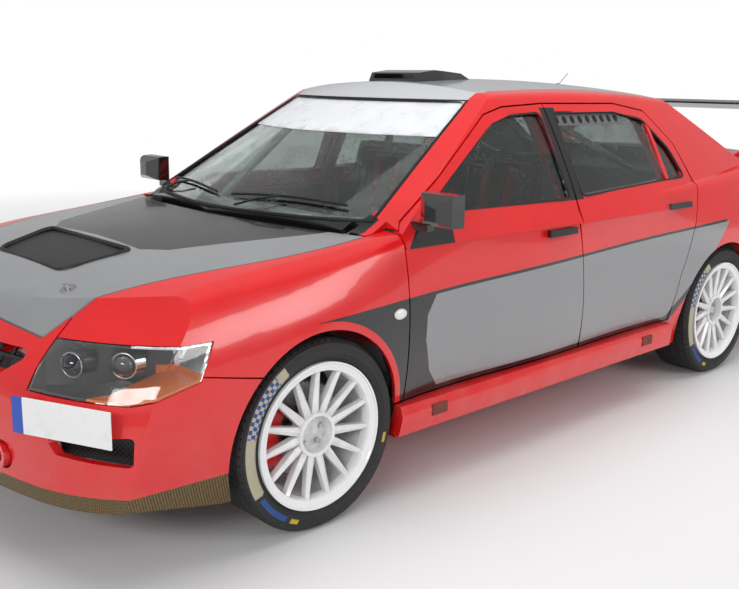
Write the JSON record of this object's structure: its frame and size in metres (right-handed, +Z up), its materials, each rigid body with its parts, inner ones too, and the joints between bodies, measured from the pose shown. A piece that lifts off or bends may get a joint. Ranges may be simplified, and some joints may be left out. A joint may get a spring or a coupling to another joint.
{
  "type": "four-door rally saloon car",
  "caption": "Four-door rally saloon on spoked wheels, with a vented bonnet, roof scoop, deep nose lip, roll cage and a tall rear wing.",
  "frame": {"origin": "on the floor, at the middle of the car's length and width", "axes": "+X to the nose, +Y to the car's left, +Z up"},
  "size_m": [4.4924, 2, 1.4859],
  "materials": {
    "aluminium": "satin",
    "aramid": "woven",
    "black_mesh": "matt",
    "black_plastic": "matt",
    "black_steel": "satin",
    "black_suede": "matt",
    "cage_paint": "gloss",
    "cast_engine": "cast",
    "cast_iron_grey": "machined",
    "clear_glass": "clear",
    "disc_iron": "ground",
    "gloss_black": "gloss",
    "gloss_carbon": "gloss weave",
    "grey_paint": "satin",
    "lamp_chrome": "polished",
    "red_lens": "gloss",
    "red_paint": "gloss",
    "red_steel": "gloss",
    "seat_shell": "fabric over shell",
    "silver_paint": "gloss",
    "steel": "brushed",
    "tyre": "matt",
    "white_plate": "gloss",
    "white_rim": "gloss"
  },
  "bodies": {
    "body": {"backlight": "clear_glass", "body_shell": "red_paint", "bumper_grilles": "black_mesh", "cage_braces": "cage_paint", "cage_side_bars": "cage_paint", "dashboard": "black_plastic", "engine_block": "cast_engine", "exhaust": "steel", "front_bumper": "red_paint", "front_lip": "aramid", "front_plate": "white_plate", "front_suspension": "black_steel", "front_wings": "red_paint", "headlamp_housings": "lamp_chrome", "headlamp_lenses": "clear_glass", "radiator": "aluminium", "rear_bumper": "red_paint", "rear_suspension": "black_steel", "roll_cage": "cage_paint", "roof_panel": "silver_paint", "roof_scoop": "gloss_carbon", "seats": "seat_shell", "side_skirts": "red_paint", "steering_wheel": "black_suede", "sump_guard": "aluminium", "tail_lamps": "red_lens", "tow_eyes": "red_steel", "windscreen": "clear_glass"},
    "bonnet": {"bonnet": "grey_paint", "bonnet_vent": "black_mesh"},
    "boot_lid": {"boot_lid": "red_paint", "rear_wing": "red_paint", "rear_plate": "white_plate"},
    "front_door_left": {"door_mirror_left": "gloss_black", "front_door_left": "red_paint", "front_window_left": "clear_glass"},
    "rear_door_left": {"rear_door_left": "red_paint", "rear_window_left": "clear_glass"},
    "front_knuckle_left": {"front_knuckle_left": "cast_iron_grey"},
    "front_wheel_left": {"front_rim_left": "white_rim", "front_tyre_left": "tyre", "front_brake_disc_left": "disc_iron"},
    "rear_wheel_left": {"rear_rim_left": "white_rim", "rear_tyre_left": "tyre", "rear_brake_disc_left": "disc_iron"},
    "front_door_right": {"door_mirror_right": "gloss_black", "front_door_right": "red_paint", "front_window_right": "clear_glass"},
    "rear_door_right": {"rear_door_right": "red_paint", "rear_window_right": "clear_glass"},
    "front_knuckle_right": {"front_knuckle_right": "cast_iron_grey"},
    "front_wheel_right": {"front_rim_right": "white_rim", "front_tyre_right": "tyre", "front_brake_disc_right": "disc_iron"},
    "rear_wheel_right": {"rear_rim_right": "white_rim", "rear_tyre_right": "tyre", "rear_brake_disc_right": "disc_iron"}
  },
  "joints": [
    {"name": "bonnet_hinge", "type": "hinge", "parent": "body", "child": "bonnet", "pos_m": [1.03, 0, 0.915], "axis": [0, -1, 0], "range_deg": [0, 50]},
    {"name": "boot_hinge", "type": "hinge", "parent": "body", "child": "boot_lid", "pos_m": [-1.59, 0, 1.012], "axis": [0, 1, 0], "range_deg": [0, 70]},
    {"name": "front_door_hinge_left", "type": "hinge", "parent": "body", "child": "front_door_left", "pos_m": [0.943, 0.885, 0.6], "axis": [0, 0, -1], "range_deg": [0, 65]},
    {"name": "rear_door_hinge_left", "type": "hinge", "parent": "body", "child": "rear_door_left", "pos_m": [-0.058, 0.885, 0.6], "axis": [0, 0, -1], "range_deg": [0, 62]},
    {"name": "steering_left", "type": "hinge", "parent": "body", "child": "front_knuckle_left", "pos_m": [1.34, 0.7, 0.32], "axis": [0, 0, 1], "range_deg": [-30, 30]},
    {"name": "front_wheel_spin_left", "type": "hinge", "parent": "front_knuckle_left", "child": "front_wheel_left", "pos_m": [1.34, 0.7575, 0.32], "axis": [0, 1, 0], "continuous": true},
    {"name": "rear_wheel_spin_left", "type": "hinge", "parent": "body", "child": "rear_wheel_left", "pos_m": [-1.285, 0.7575, 0.32], "axis": [0, 1, 0], "continuous": true},
    {"name": "front_door_hinge_right", "type": "hinge", "parent": "body", "child": "front_door_right", "pos_m": [0.943, -0.885, 0.6], "axis": [0, 0, 1], "range_deg": [0, 65]},
    {"name": "rear_door_hinge_right", "type": "hinge", "parent": "body", "child": "rear_door_right", "pos_m": [-0.058, -0.885, 0.6], "axis": [0, 0, 1], "range_deg": [0, 62]},
    {"name": "steering_right", "type": "hinge", "parent": "body", "child": "front_knuckle_right", "pos_m": [1.34, -0.7, 0.32], "axis": [0, 0, 1], "range_deg": [-30, 30]},
    {"name": "front_wheel_spin_right", "type": "hinge", "parent": "front_knuckle_right", "child": "front_wheel_right", "pos_m": [1.34, -0.7575, 0.32], "axis": [0, 1, 0], "continuous": true},
    {"name": "rear_wheel_spin_right", "type": "hinge", "parent": "body", "child": "rear_wheel_right", "pos_m": [-1.285, -0.7575, 0.32], "axis": [0, 1, 0], "continuous": true}
  ],
  "couplings": [
    {"joint": "steering_right", "follows": "steering_left", "ratio": 1}
  ]
}
